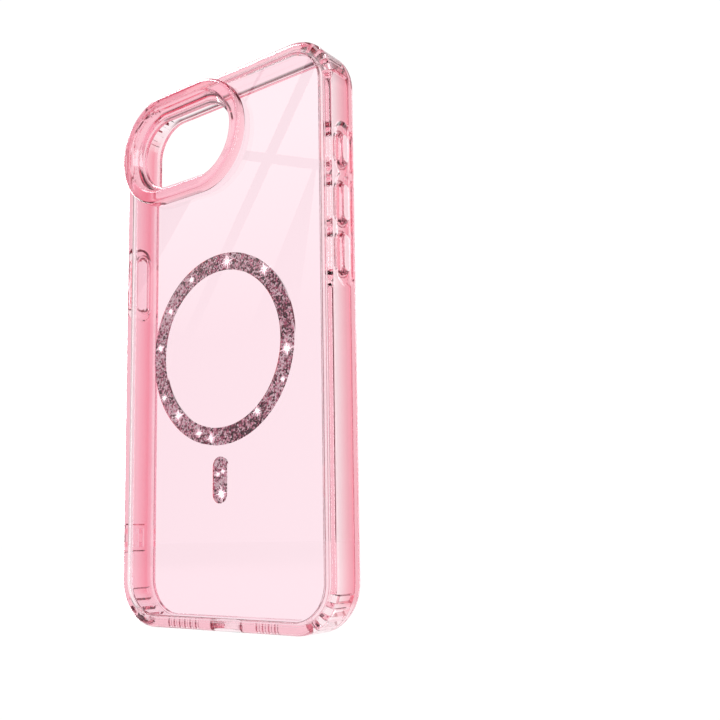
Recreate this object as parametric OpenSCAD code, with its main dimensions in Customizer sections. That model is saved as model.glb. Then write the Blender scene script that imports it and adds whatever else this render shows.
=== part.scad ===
// Clear two-shot phone case with a glitter-faced magnet ring, a raised camera guard,
// four sprung side keys and air-cushioned corners.
//
// Frame: the case stands on its bottom edge. +Z runs up its length, X across its width, and -Y
// is the outer back. The origin is the middle of the bounding box's bottom face.
// Depths inside the case, called v below, are measured from the back rim's plane towards +Y.

/* [Case body] */
// Width across the flat sides, without the keys
case_w = 76.9; // [74:0.1:80]
// Length from the bottom edge to the top edge
case_l = 152.1; // [148:0.1:158]
// Depth from the back rim to the front lip
case_d = 11.2; // [10.8:0.1:12]
// Radius of the four outer corners
corner_r = 13; // [12:0.5:15]
// Thickness of the side wall
wall = 2.55; // [2.4:0.05:3]
// Rounding of the outer back edge
back_round = 2.4; // [1.6:0.1:2.6]
// Rounding of the outer front edge
front_round = 1.6; // [1:0.1:1.8]
// Thickness of the front lip that holds the phone in
front_lip_t = 1.15; // [0.9:0.05:1.4]
// How far the front lip reaches over the phone's edge
front_lip_reach = 0.55; // [0.3:0.05:0.9]

/* [Back plate] */
// Width of the soft rim between the outer side and the plate
rim_w = 3.4; // [3.2:0.1:4]
// How far the plate lies below the rim
plate_sink = 0.4; // [0.2:0.05:0.6]
// Thickness of the plate
plate_t = 1.8; // [1.6:0.1:2.2]
// How far the plate's tongue reaches into the soft frame
tongue_reach = 1.2; // [0.6:0.1:1.4]
// Thickness of the tongue
tongue_t = 0.6; // [0.4:0.1:0.8]

/* [Camera guard] */
// Length of the camera opening, across the case
cam_w = 35.5; // [33:0.5:37]
// Height of the camera opening
cam_h = 20; // [18:0.5:21]
// Distance of the opening's centre from the middle of the case
cam_off = 14.2; // [13:0.1:14.5]
// Height of the opening's centre above the bottom edge
cam_z = 135.3; // [130:0.1:135.5]
// Width of the guard's collar from the opening to its outer edge
guard_w = 5.9; // [5:0.1:6]
// Height of the guard's crest above the rim
guard_rise = 2.3; // [2:0.1:2.8]
// Width of the guard's neck, which passes through the plate
neck_w = 2.2; // [1.6:0.1:2.6]

/* [Magnet ring] */
// Height of the ring's centre above the bottom edge
ring_z = 74.4; // [70:0.1:80]
// Outer diameter of the glitter film ring
ring_od = 52; // [48:0.5:56]
// Width of the glitter film ring
ring_band = 4.6; // [4:0.1:6]
// Number of magnets in the ring
magnet_count = 36; // [18:1:36]
// Width of the magnets, along the radius
magnet_w = 3.6; // [3:0.1:4]
// Thickness of the magnets
magnet_t = 0.6; // [0.5:0.05:0.8]
// Gap between one magnet and the next
magnet_gap = 0.3; // [0.2:0.05:0.6]
// Thickness of the glitter film and of the backing film
film_t = 0.12; // [0.1:0.01:0.2]
// Height of the bar's lower end above the bottom edge
bar_z = 33; // [30:0.1:36]
// Length of the bar
bar_l = 12.3; // [11:0.1:14]
// Width of the bar
bar_w = 5.2; // [4.6:0.1:6]

/* [Side keys] */
// Width of every key, across the depth of the case
key_w = 4.2; // [3.6:0.1:4.4]
// How far a key stands out from the side of the case
key_proud = 0.6; // [0.3:0.05:0.8]
// How far a key moves when it is pressed
key_travel = 0.35; // [0.2:0.05:0.4]
// Clearance all round a key in its window
key_gap = 0.2; // [0.15:0.05:0.3]
// Depth of the scooped recess round the keys
scoop_d = 0.8; // [0.5:0.05:0.9]
// Height of the action key's centre
action_z = 121.5; // [119:0.1:123]
// Length of the action key
action_l = 8.8; // [8:0.1:9]
// Height of the volume up key's centre
up_z = 107.3; // [106:0.1:108]
// Height of the volume down key's centre
down_z = 94.2; // [93:0.1:95]
// Length of each volume key
volume_l = 10.8; // [10:0.1:11]
// Height of the side key's centre
side_z = 99.3; // [98:0.1:101]
// Length of the side key
side_l = 16.5; // [15:0.1:17]

/* [Lanyard block] */
// Height of the block's centre
lanyard_z = 24.5; // [22:0.1:28]
// Length of the block
lanyard_l = 8.4; // [8:0.1:10]
// How far the block stands out from the side
lanyard_proud = 0.5; // [0.3:0.05:0.6]
// Height of the two cord holes, along the case
cord_hole_h = 1.5; // [1.2:0.1:1.8]
// Width of the two cord holes, from back to front
cord_hole_w = 1.8; // [1.2:0.1:2]
// Distance between the two cord holes
cord_pitch = 3.8; // [3.6:0.1:4.2]

/* [Bottom edge] */
// Width of the connector opening
port_w = 11.2; // [10:0.1:12]
// Depth of the connector opening, from back to front
port_h = 5.6; // [5:0.1:6]
// Diameter of the sound holes
sound_d = 1.3; // [1:0.1:1.5]
// Distance from one sound hole to the next
sound_pitch = 2.06; // [2:0.02:2.2]
// Distance of the sound recesses from the middle of the case
sound_off = 9.7; // [9:0.1:11]

/* [Air cushions] */
// Number of air pockets in each corner
pocket_count = 4; // [3:1:4]
// Angle from one pocket to the next
pocket_step = 16.8; // [16:0.2:18]
// Width of a pocket along the corner
pocket_w = 2; // [1.6:0.1:2.2]
// Depth of a pocket into the wall, from the phone's side
pocket_d = 1.3; // [1:0.1:1.5]

/* [Hidden] */
$fn = 96;
y_back = guard_rise - (case_d + guard_rise) / 2;
side_x = case_w / 2;
plate_in = plate_sink + plate_t;
lip_in = case_d - front_lip_t;
phone_mid = (plate_in + lip_in) / 2;
tongue_v = plate_sink + (plate_t - tongue_t) / 2;
tongue_u = rim_w - tongue_reach;
cord_groove_d = 0.9;
scoop_h = 6.8;
scoop_margin = 3;
flange_edge = 0.6;
flange_t = 0.35;
flange_room = 0.05;
arc_steps = 8;
fit_gap = 0.05;
cut = 1;
magnet_pitch = 360 / magnet_count;
magnet_r = ring_od / 2 - ring_band / 2;
inlay_t = magnet_t + 2 * film_t;
glitter_v = plate_in - inlay_t;
magnet_v = glitter_v + film_t;
backing_v = magnet_v + magnet_t;
bar_magnet_l = 5.4;
bar_magnet_w = 3.6;

function magnet_name(i) = str("ring_magnet_", i < 10 ? "0" : "", i);
function arc(centre, r, from, to) =
    [for (i = [0:arc_steps]) let (a = from + (to - from) * i / arc_steps)
        [centre[0] + r * cos(a), centre[1] + r * sin(a)]];

// ---- shared shapes ----

// Draws a flat shape, with X across and Y up, as a slab between the depths v0 and v1.
module slab(v0, v1) {
    translate([0, y_back + v1, 0])
        rotate([90, 0, 0])
            linear_extrude(v1 - v0)
                children();
}

// The case's outline, drawn inwards by u.
module outline(u) {
    r = corner_r - u;
    translate([-side_x + u, corner_r])
        square([case_w - 2 * u, case_l - 2 * corner_r]);
    translate([-side_x + corner_r, u])
        square([case_w - 2 * corner_r, case_l - 2 * u]);
    for (x = [-side_x + corner_r, side_x - corner_r], z = [corner_r, case_l - corner_r])
        translate([x, z])
            circle(r);
}

// A bar with round ends, w across and h up.
module stadium(w, h) {
    r = min(w, h) / 2;
    for (side = [-1, 1])
        translate([side * (w / 2 - min(r, w / 2)), side * (h / 2 - min(r, h / 2))])
            circle(r);
    square([w > h ? w - h : w, w > h ? h : h - w], center = true);
}

// Runs a section round a rectangle of corner centres. The section's X is its distance from a
// corner's centre and its Y is the depth v.
module run_round(x0, x1, z0, z1) {
    starts = [[x1, z0], [x0, z0], [x0, z1], [x1, z1]];
    for (k = [0:3]) {
        length = k % 2 == 0 ? z1 - z0 : x1 - x0;
        translate([starts[k][0], y_back, starts[k][1]])
            rotate([0, 90 * k, 0]) {
                rotate([-90, 0, 0])
                    rotate_extrude(angle = 90)
                        children();
                if (length > 0)
                    linear_extrude(length)
                        children();
            }
    }
}

// A round-ended cutter or key body: the face is drawn across Y and up Z, and it runs along X.
module side_slab(x0, x1, z, h, w, v) {
    translate([x0, y_back + v, z])
        rotate([90, 0, 90])
            linear_extrude(x1 - x0)
                stadium(w, h);
}

// ---- soft frame ----

module frame_section() {
    inner_edge = wall + front_lip_reach;
    section = concat(
        arc([back_round, back_round], back_round, 180, 270),
        [[rim_w - 0.3, 0], [rim_w, 0.3]],
        [[rim_w, tongue_v], [tongue_u, tongue_v]],
        [[tongue_u, tongue_v + tongue_t], [rim_w, tongue_v + tongue_t]],
        [[rim_w, plate_in], [wall, plate_in], [wall, lip_in], [inner_edge, lip_in]],
        arc([inner_edge - 0.5, case_d - 0.5], 0.5, 0, 90),
        arc([front_round, case_d - front_round], front_round, 90, 180));
    polygon([for (p = section) [corner_r - p[0], p[1]]]);
}

module frame_ring() {
    run_round(-side_x + corner_r, side_x - corner_r, corner_r, case_l - corner_r)
        frame_section();
}

// The block's ends slope at 45 degrees, so a cord slides off it.
module lanyard_block() {
    h = lanyard_l / 2;
    root = h - lanyard_proud;
    translate([-side_x, y_back + phone_mid + 3, lanyard_z])
        rotate([90, 0, 0])
            linear_extrude(6)
                polygon([[wall / 2, -h], [0, -h], [-lanyard_proud, -root],
                    [-lanyard_proud, root], [0, h], [wall / 2, h]]);
}

// side is +1 or -1. The recess is scooped out of the side, the window goes through the wall,
// and the pocket on the phone's side holds the key's flange.
module key_opening(side, z, h) {
    wide = key_w + 2 * key_gap;
    pocket = 2 * (flange_edge + key_gap);
    rotate([0, side > 0 ? 0 : 180, 0]) {
        zz = side * z;
        side_slab(side_x - wall - cut, side_x + cut, zz, h + 2 * key_gap, wide, phone_mid);
        side_slab(side_x - wall - cut, side_x - wall + flange_t + 2 * flange_room + key_travel,
            zz, h + pocket, key_w + pocket, phone_mid);
    }
}

module scoop(side, z0, z1) {
    rotate([0, side > 0 ? 0 : 180, 0])
        side_slab(side_x - scoop_d, side_x + cut, side * (z0 + z1) / 2, z1 - z0, scoop_h, phone_mid);
}

module sound_recess(x0, count) {
    length = (count - 1) * sound_pitch + 2.5;
    translate([x0 + length / 2, y_back + phone_mid, -cut])
        linear_extrude(cut + 0.8)
            stadium(length, 2.9);
    for (i = [0:count - 1])
        translate([x0 + 1.25 + i * sound_pitch, y_back + phone_mid, -cut])
            cylinder(h = wall + 2 * cut, d = sound_d);
}

module port_opening() {
    translate([0, y_back + phone_mid, -cut])
        linear_extrude(wall + 2 * cut)
            stadium(port_w, port_h);
    translate([0, y_back + phone_mid, -cut])
        linear_extrude(cut + 0.8)
            stadium(port_w + 1.8, port_h + 1.4);
}

// Two square holes through the block, joined by a groove on the phone's side that hides the cord.
module cord_holes() {
    y = y_back + phone_mid - cord_hole_w / 2;
    groove_h = cord_pitch + cord_hole_h;
    for (side = [-1, 1])
        translate([-side_x - cut, y, lanyard_z + side * cord_pitch / 2 - cord_hole_h / 2])
            cube([wall + 2 * cut, cord_hole_w, cord_hole_h]);
    translate([-side_x + wall - cord_groove_d, y, lanyard_z - groove_h / 2])
        cube([cord_groove_d + cut, cord_hole_w, groove_h]);
}

module corner_pockets() {
    spread = (pocket_count - 1) / 2;
    r_in = corner_r - wall;
    for (k = [0:3], i = [-spread:spread]) {
        x = (k == 0 || k == 3 ? 1 : -1) * (side_x - corner_r);
        z = k < 2 ? corner_r : case_l - corner_r;
        angle = 45 + 90 * k + i * pocket_step;
        translate([x, y_back, z])
            rotate([0, angle, 0])
                translate([r_in - cut, plate_in + 0.8, -pocket_w / 2])
                    cube([cut + pocket_d, lip_in - plate_in - 1.6, pocket_w]);
    }
}

module bumper_frame() {
    color("#f59aab", 0.6)
        difference() {
            union() {
                frame_ring();
                lanyard_block();
            }
            scoop(1, action_z - action_l / 2 - scoop_margin, action_z + action_l / 2 + scoop_margin);
            scoop(1, down_z - volume_l / 2 - scoop_margin, up_z + volume_l / 2 + scoop_margin);
            scoop(-1, side_z - side_l / 2 - scoop_margin, side_z + side_l / 2 + scoop_margin);
            key_opening(1, action_z, action_l);
            key_opening(1, up_z, volume_l);
            key_opening(1, down_z, volume_l);
            key_opening(-1, side_z, side_l);
            sound_recess(sound_off, 4);
            sound_recess(-sound_off - 5 * sound_pitch - 2.5, 6);
            port_opening();
            cord_holes();
            corner_pockets();
        }
}

// ---- hard plate ----

module camera_outline(grow) {
    translate([-cam_off, cam_z])
        stadium(cam_w + 2 * grow, cam_h + 2 * grow);
}

module back_plate() {
    color("#ffe4ec", 0.45)
        difference() {
            union() {
                slab(plate_sink, plate_in)
                    outline(rim_w);
                slab(tongue_v, tongue_v + tongue_t)
                    outline(tongue_u);
            }
            slab(-cut, plate_in + cut)
                camera_outline(neck_w);
            slab(glitter_v, plate_in + cut)
                ring_outline(fit_gap);
            slab(glitter_v, plate_in + cut)
                bar_outline(fit_gap);
        }
}

// ---- camera guard ----

// The collar's section: a sloping inner wall, a rounded crest and a long outer slope.
module guard_section() {
    crest = arc([2.9, guard_rise - 1], 1, 150, 90);
    shoulder = arc([guard_w - 1, guard_rise - 1], 1, 90, 0);
    section = concat(
        [[0, -plate_in], [0, -plate_in + 0.6]],
        crest,
        shoulder,
        [[guard_w, -plate_sink], [neck_w, -plate_sink], [neck_w, -plate_in]]);
    polygon([for (p = section) [cam_h / 2 + p[0], -p[1]]]);
}

module camera_guard() {
    reach = (cam_w - cam_h) / 2;
    color("#f2899d", 0.7)
        difference() {
            run_round(-cam_off - reach, -cam_off + reach, cam_z, cam_z)
                guard_section();
            frame_ring();
        }
}

// ---- magnet ring and bar ----

module ring_outline(grow) {
    translate([0, ring_z])
        difference() {
            circle(ring_od / 2 + grow);
            circle(ring_od / 2 - ring_band - grow);
        }
}

module bar_outline(grow) {
    translate([0, bar_z + bar_l / 2])
        stadium(bar_w + 2 * grow, bar_l + 2 * grow);
}

module ring_glitter_film() {
    color("#a8657c")
        slab(glitter_v, magnet_v)
            ring_outline(0);
}

module bar_glitter_film() {
    color("#a8657c")
        slab(glitter_v, magnet_v)
            bar_outline(0);
}

module ring_backing_film() {
    color("#f6c9d4")
        slab(backing_v, plate_in)
            ring_outline(0);
}

module bar_backing_film() {
    color("#f6c9d4")
        slab(backing_v, plate_in)
            bar_outline(0);
}

// One arc-shaped magnet. Magnet 1 is centred on the top of the ring.
module ring_magnet(i) {
    gap_angle = magnet_gap / magnet_r * 180 / PI;
    sweep = magnet_pitch - gap_angle;
    color("#c9ccd1")
        translate([0, y_back + magnet_v, ring_z])
            rotate([0, 270 - sweep / 2 + (i - 1) * magnet_pitch, 0])
                rotate([-90, 0, 0])
                    rotate_extrude(angle = sweep)
                        translate([magnet_r - magnet_w / 2, 0])
                            square([magnet_w, magnet_t]);
}

module bar_magnet(z) {
    color("#c9ccd1")
        translate([-bar_magnet_w / 2, y_back + magnet_v, z])
            cube([bar_magnet_w, magnet_t, bar_magnet_l]);
}

module bar_magnet_upper() {
    bar_magnet(bar_z + bar_l / 2 + magnet_gap / 2);
}

module bar_magnet_lower() {
    bar_magnet(bar_z + bar_l / 2 - magnet_gap / 2 - bar_magnet_l);
}

// ---- keys ----

// A key from its flange, on the phone's side, to the raised pad that a finger presses.
module key(side, z, h) {
    flange_x = side_x - wall + key_travel + flange_room;
    pad_x = side_x + key_proud - 0.5;
    color("#f7a9b8", 0.8)
        rotate([0, side > 0 ? 0 : 180, 0]) {
            zz = side * z;
            side_slab(flange_x, flange_x + flange_t, zz, h + 2 * flange_edge, key_w + 2 * flange_edge,
                phone_mid);
            side_slab(flange_x + flange_t, pad_x, zz, h, key_w, phone_mid);
            side_slab(pad_x, side_x + key_proud, zz, h - 1.2, key_w - 1.2, phone_mid);
        }
}

module action_key() {
    key(1, action_z, action_l);
}

module volume_up_key() {
    key(1, up_z, volume_l);
}

module volume_down_key() {
    key(1, down_z, volume_l);
}

module side_key() {
    key(-1, side_z, side_l);
}

back_plate();
bumper_frame();
camera_guard();
action_key();
volume_up_key();
volume_down_key();
side_key();
ring_glitter_film();
bar_glitter_film();
ring_backing_film();
bar_backing_film();
bar_magnet_upper();
bar_magnet_lower();
for (i = [1:magnet_count])
    ring_magnet(i);
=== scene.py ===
# %% [markdown]
# # A clear pink phone case with a glitter magnet ring
#
# The case is two mouldings in one: a hard clear plate across the back, and a soft clear frame
# that wraps the sides. Both let light through, so almost all of its look comes from geometry:
# how thick the plastic is where light crosses it, and where an edge bends light away.
# The frame, its joints and its sizes come packed. This lesson builds finer meshes in the same
# places, gives each one the finish of the real plastic, and lights it like a studio.

import math

import bmesh
import bpy
from mathutils import Matrix, Vector


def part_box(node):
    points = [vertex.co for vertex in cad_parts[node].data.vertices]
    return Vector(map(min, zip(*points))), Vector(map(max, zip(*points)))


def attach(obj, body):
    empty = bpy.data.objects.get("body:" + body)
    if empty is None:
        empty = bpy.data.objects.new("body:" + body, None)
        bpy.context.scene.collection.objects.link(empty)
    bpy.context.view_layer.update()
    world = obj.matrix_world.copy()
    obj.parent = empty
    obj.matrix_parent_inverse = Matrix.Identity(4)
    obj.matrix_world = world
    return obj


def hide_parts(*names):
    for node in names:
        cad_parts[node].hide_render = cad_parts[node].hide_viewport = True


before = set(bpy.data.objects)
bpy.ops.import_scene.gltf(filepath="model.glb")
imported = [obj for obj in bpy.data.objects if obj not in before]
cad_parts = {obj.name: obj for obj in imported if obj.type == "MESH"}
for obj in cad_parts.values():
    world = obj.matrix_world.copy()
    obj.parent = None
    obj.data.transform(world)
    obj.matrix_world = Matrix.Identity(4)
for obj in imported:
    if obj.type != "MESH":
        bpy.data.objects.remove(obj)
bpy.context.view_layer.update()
MM = 0.001

# %% [markdown]
# ## Sizes
#
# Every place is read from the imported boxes, so that nothing has to be fitted by eye. What a box
# can't say, such as the width of the soft rim or the depth of a scoop, is a named value here,
# in millimetres, next to the piece that it belongs to.

# %% Read the case's outline and depths
frame_low, frame_high = (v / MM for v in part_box("bumper_frame"))
plate_low, plate_high = (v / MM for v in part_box("back_plate"))
SIDE_X = frame_high.x
CASE_L = frame_high.z
Y_BACK = frame_low.y
CASE_D = frame_high.y - frame_low.y
PLATE_SINK = plate_low.y - Y_BACK
PLATE_IN = plate_high.y - Y_BACK
CORNER_R = 13.0
WALL = 2.55
RIM_W = 3.4
TONGUE_U = SIDE_X - plate_high.x
TONGUE_V0, TONGUE_V1 = 1.0, 1.6
LIP_T = 1.15
LIP_REACH = 0.55
LIP_IN = CASE_D - LIP_T
KEY_V = (PLATE_IN + LIP_IN) / 2
print(f"case {2 * SIDE_X:.1f} x {CASE_L:.1f} x {CASE_D:.1f} mm, plate {PLATE_IN - PLATE_SINK:.2f} mm")

# %% Read where the keys, the ring and the guard are
KEYS = {
    "action_key": (1, "action_key"),
    "volume_up_key": (1, "volume_up_key"),
    "volume_down_key": (1, "volume_down_key"),
    "side_key": (-1, "side_key"),
}
FLANGE_EDGE = 0.6
key_span = {}
for name, (side, body) in KEYS.items():
    low, high = (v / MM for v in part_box(name))
    key_span[name] = ((low.z + high.z) / 2, high.z - low.z - 2 * FLANGE_EDGE)
KEY_W = 4.2
KEY_GAP = 0.2
guard_low, guard_high = (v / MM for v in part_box("camera_guard"))
GUARD_W = 5.9
GUARD_X = (guard_low.x + guard_high.x) / 2
GUARD_Z = (guard_low.z + guard_high.z) / 2
GUARD_RISE = Y_BACK - guard_low.y
CAM_W = guard_high.x - guard_low.x - 2 * GUARD_W
CAM_H = guard_high.z - guard_low.z - 2 * GUARD_W
ring_low, ring_high = (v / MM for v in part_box("ring_glitter_film"))
RING_R = (ring_high.x - ring_low.x) / 2
RING_BAND = 4.6
RING_Z = (ring_low.z + ring_high.z) / 2
bar_low, bar_high = (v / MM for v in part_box("bar_glitter_film"))
print("keys", {k: (round(z, 1), round(h, 1)) for k, (z, h) in key_span.items()})
print(f"guard rise {GUARD_RISE:.2f}, opening {CAM_W:.1f} x {CAM_H:.1f}, ring radius {RING_R:.1f} mm")

# %% [markdown]
# ## Helpers for meshes
#
# Most pieces here are a section carried round a closed path, like icing from a shaped nozzle.
# Such a mesh is a grid: one direction follows the path, the other follows the section. A grid
# stays smooth under glass-like shading, and a recess or a raised block is only a rule that
# pushes some of its points in or out.


# %% Fillet the corners of a section
def filleted(corners, steps=5):
    """Corners are (a, b, radius). Returns the outline with each corner turned into an arc."""
    out = []
    count = len(corners)
    for i, (a, b, radius) in enumerate(corners):
        here = Vector((a, b))
        to_prev = Vector(corners[i - 1][:2]) - here
        to_next = Vector(corners[(i + 1) % count][:2]) - here
        if radius <= 0:
            out.append(here)
            continue
        half = to_prev.angle(to_next) / 2
        reach = min(radius / math.tan(half), 0.49 * to_prev.length, 0.49 * to_next.length)
        r = reach * math.tan(half)
        centre = here + (to_prev.normalized() + to_next.normalized()).normalized() * r / math.sin(half)
        start = here + to_prev.normalized() * reach - centre
        end = here + to_next.normalized() * reach - centre
        turn = start.angle_signed(end)
        for k in range(steps + 1):
            angle = -turn * k / steps
            out.append(centre + Matrix.Rotation(angle, 2) @ start)
    return out


square = filleted([(0, 0, 1), (4, 0, 1), (4, 4, 1), (0, 4, 1)])
print("a square with round corners has", len(square), "points")


# %% Split the long steps of an outline
def subdivided(points, longest):
    """Adds points to an outline, so that no step in it is longer than longest."""
    out = []
    for here, there in zip(points, points[1:] + points[:1]):
        pieces = max(1, math.ceil((there - here).length / longest - 1e-6))
        out += [here.lerp(there, k / pieces) for k in range(pieces)]
    return out


# %% Walk round a rectangle with round corners
def round_path(x0, x1, z0, z1, r, spots, turn_steps=26):
    """The path's points as (x, z, normal x, normal z). The four numbers are the corners' centres.

    spots gives, for each side, the places along it where a column of points is wanted.
    Side 0 is +X going up, 1 the top going to -X, 2 is -X going down, and 3 the bottom."""
    centres = [(x1, z0), (x1, z1), (x0, z1), (x0, z0)]
    path = []
    for side in range(4):
        (ax, az), (bx, bz) = centres[side], centres[(side + 1) % 4]
        angle = math.pi / 2 * side
        nx, nz = math.cos(angle), math.sin(angle)
        length = math.hypot(bx - ax, bz - az)
        for t in spots[side] if length > 0 else [0.0]:
            f = t / length if length > 0 else 0
            path.append((ax + (bx - ax) * f + nx * r, az + (bz - az) * f + nz * r, nx, nz))
        turns = spots[4] if len(spots) > 4 else [k / turn_steps for k in range(1, turn_steps)]
        for f in turns:
            a = angle + math.pi / 2 * f
            path.append((bx + r * math.cos(a), bz + r * math.sin(a), math.cos(a), math.sin(a)))
    return path


# %% Make a closed mesh from a grid of points
def grid_mesh(name, rows):
    """rows[i][j] are points in mm. Both directions close on themselves, as on a ring."""
    count, width = len(rows), len(rows[0])
    verts = [tuple(c * MM for c in p) for row in rows for p in row]
    faces = []
    for i in range(count):
        k = (i + 1) % count
        for j in range(width):
            m = (j + 1) % width
            faces.append((i * width + j, k * width + j, k * width + m, i * width + m))
    return finished_mesh(name, verts, faces)


def finished_mesh(name, verts, faces, sharp=math.radians(32)):
    """Makes the object, turns its faces outwards and shades it smooth except at sharp edges."""
    mesh = bpy.data.meshes.new(name)
    mesh.from_pydata(verts, [], faces)
    bm = bmesh.new()
    bm.from_mesh(mesh)
    bmesh.ops.recalc_face_normals(bm, faces=bm.faces)
    bm.to_mesh(mesh)
    bm.free()
    obj = bpy.data.objects.new(name, mesh)
    bpy.context.scene.collection.objects.link(obj)
    shade(obj, sharp)
    return obj


def shade(obj, sharp=math.radians(32)):
    obj.data.shade_smooth()
    obj.data.set_sharp_from_angle(angle=sharp)
    return obj


# %% Make a solid from a stack of outlines
def stack_mesh(name, loops, sharp=math.radians(32)):
    """loops is a list of closed outlines with the same number of points. The ends get caps."""
    width = len(loops[0])
    verts = [tuple(c * MM for c in p) for loop in loops for p in loop]
    faces = []
    for i in range(len(loops) - 1):
        for j in range(width):
            m = (j + 1) % width
            faces.append((i * width + j, i * width + m, (i + 1) * width + m, (i + 1) * width + j))
    faces.append(tuple(range(width)))
    faces.append(tuple(range((len(loops) - 1) * width, len(loops) * width)))
    return finished_mesh(name, verts, faces, sharp)


# %% Cut one mesh with another
def cut_away(target, tool):
    """Subtracts the tool, then removes it and the modifier."""
    cut = target.modifiers.new("cut", "BOOLEAN")
    cut.operation = "DIFFERENCE"
    cut.solver = "EXACT"
    cut.use_self = False
    cut.object = tool
    evaluated = target.evaluated_get(bpy.context.evaluated_depsgraph_get())
    mesh = bpy.data.meshes.new_from_object(evaluated)
    target.modifiers.clear()
    old = target.data
    target.data = mesh
    bpy.data.meshes.remove(old)
    bpy.data.objects.remove(tool)
    return shade(target)


def stadium(w, h, steps=12):
    """A bar with round ends, w across and h up, as (across, up) points going round once."""
    r = min(w, h) / 2
    ax, up = w / 2 - r, h / 2 - r
    out = []
    for quarter, (sx, sz) in enumerate([(1, 1), (-1, 1), (-1, -1), (1, -1)]):
        for k in range(steps + 1):
            a = math.pi / 2 * (quarter + k / steps)
            out.append((sx * ax + r * math.cos(a), sz * up + r * math.sin(a)))
    return out


# %% [markdown]
# ## The soft frame
#
# The real frame is moulded in thermoplastic polyurethane, a rubbery clear plastic. Its section
# is a wall with a rounded back edge, a groove that holds the hard plate's tongue, and a lip at
# the front that folds over the phone. It could be cut from a block with booleans, but then the
# scooped key recesses would have hard edges. Here the scoops, the lanyard block and the air
# pockets are rules that move the grid's points, so that they flow into the wall as moulded
# plastic does. Only real holes are cut.

# %% Say where the frame's features are
SCOOP_D = 0.8
SCOOP_H = 6.8
SCOOP_MARGIN = 3.0
LANYARD_Z, LANYARD_L, LANYARD_PROUD = 24.5, 8.4, 0.5
CORD_PITCH, CORD_HOLE_H, CORD_HOLE_W, CORD_GROOVE = 3.8, 1.5, 1.8, 0.9
PORT_W, PORT_H = 11.2, 5.6
SOUND_D, SOUND_PITCH, SOUND_OFF = 1.3, 2.06, 9.7
SOUND_END = 2.5
SOUND_ROWS = [(SOUND_OFF, 4), (-SOUND_OFF - 5 * SOUND_PITCH - SOUND_END, 6)]
POCKETS, POCKET_STEP, POCKET_W, POCKET_D = 4, 16.8, 2.0, 1.3


def span_z(*names):
    ends = [key_span[n][0] + s * (key_span[n][1] / 2 + SCOOP_MARGIN) for n in names for s in (-1, 1)]
    return min(ends), max(ends)


SCOOPS = {
    1: [span_z("action_key"), span_z("volume_up_key", "volume_down_key")],
    -1: [span_z("side_key")],
}
print("scoops", SCOOPS)


# %% Rules that move the wall's points
def smooth(t):
    t = min(max(t, 0.0), 1.0)
    return t * t * (3 - 2 * t)


def bar_distance(a, b, half_len, half_w):
    """How far (a, b) is inside a bar with round ends, which runs along a. Negative is outside."""
    r = min(half_w, half_len)
    da = max(abs(a) - (half_len - r), 0.0)
    db = max(abs(b) - (half_w - r), 0.0)
    return r - math.hypot(da, db)


def side_push(side, z, v):
    """How far the outer wall goes in at height z and depth v, on the +X or -X side."""
    push = 0.0
    for z0, z1 in SCOOPS[side]:
        inside = bar_distance(z - (z0 + z1) / 2, v - KEY_V, (z1 - z0) / 2, SCOOP_H / 2)
        push = max(push, SCOOP_D * smooth(inside / 1.1))
    if side < 0:
        end = LANYARD_L / 2 - abs(z - LANYARD_Z)
        edge = 3.0 - abs(v - KEY_V)
        push -= LANYARD_PROUD * smooth(min(end / 0.6, edge / 0.4))
    return push


def bottom_push(x, v):
    push = 0.8 * smooth(bar_distance(x, v - KEY_V, (PORT_W + 1.8) / 2, (PORT_H + 1.4) / 2) / 0.7)
    for x0, count in SOUND_ROWS:
        length = (count - 1) * SOUND_PITCH + SOUND_END
        inside = bar_distance(x - x0 - length / 2, v - KEY_V, length / 2, 1.45)
        push = max(push, 0.8 * smooth(inside / 0.35))
    return push


def pocket_push(turn_deg, v):
    """How far an air pocket goes into the corner's wall from the phone's side."""
    depth = 0.0
    for k in range(POCKETS):
        centre = 45 + (k - (POCKETS - 1) / 2) * POCKET_STEP
        half = math.degrees(POCKET_W / 2 / (CORNER_R - WALL))
        across = (half - abs(turn_deg - centre)) / 0.9
        along = min(v - PLATE_IN - 0.8, LIP_IN - 0.8 - v) / 0.2
        depth = max(depth, POCKET_D * smooth(min(across, along)))
    return depth


# %% The frame's section, from the back rim round to the front lip
WALL_INNER = WALL + LIP_REACH
section_corners = [
    (0, 0, 2.4), (RIM_W, 0, 0.45), (RIM_W, TONGUE_V0, 0.08), (TONGUE_U, TONGUE_V0, 0.1),
    (TONGUE_U, TONGUE_V1, 0.1), (RIM_W, TONGUE_V1, 0.08), (RIM_W, PLATE_IN, 0.12),
    (WALL, PLATE_IN, 0.3), (WALL, LIP_IN, 0.25), (WALL_INNER, LIP_IN, 0.15),
    (WALL_INNER, CASE_D, 0.5), (0, CASE_D, 1.6),
]
section = subdivided(filleted(section_corners, 6), 0.45)
print("section points", len(section))


# %% Choose the columns along the path
def spread(length, fine, coarse=3.0, step=0.4):
    """Places along a side: every step inside the fine stretches, and coarse between them."""
    stops = [0.0]
    while stops[-1] < length - 1e-6:
        here = stops[-1]
        in_fine = any(a - 0.01 <= here < b for a, b in fine)
        ahead = [a for a, b in fine if a > here + 0.01]
        nxt = here + (step if in_fine else coarse)
        if not in_fine and ahead:
            nxt = min(nxt, min(ahead))
        stops.append(min(nxt, length))
    if stops[-1] - stops[-2] < 0.1:
        stops.pop(-2)
    return stops


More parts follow.
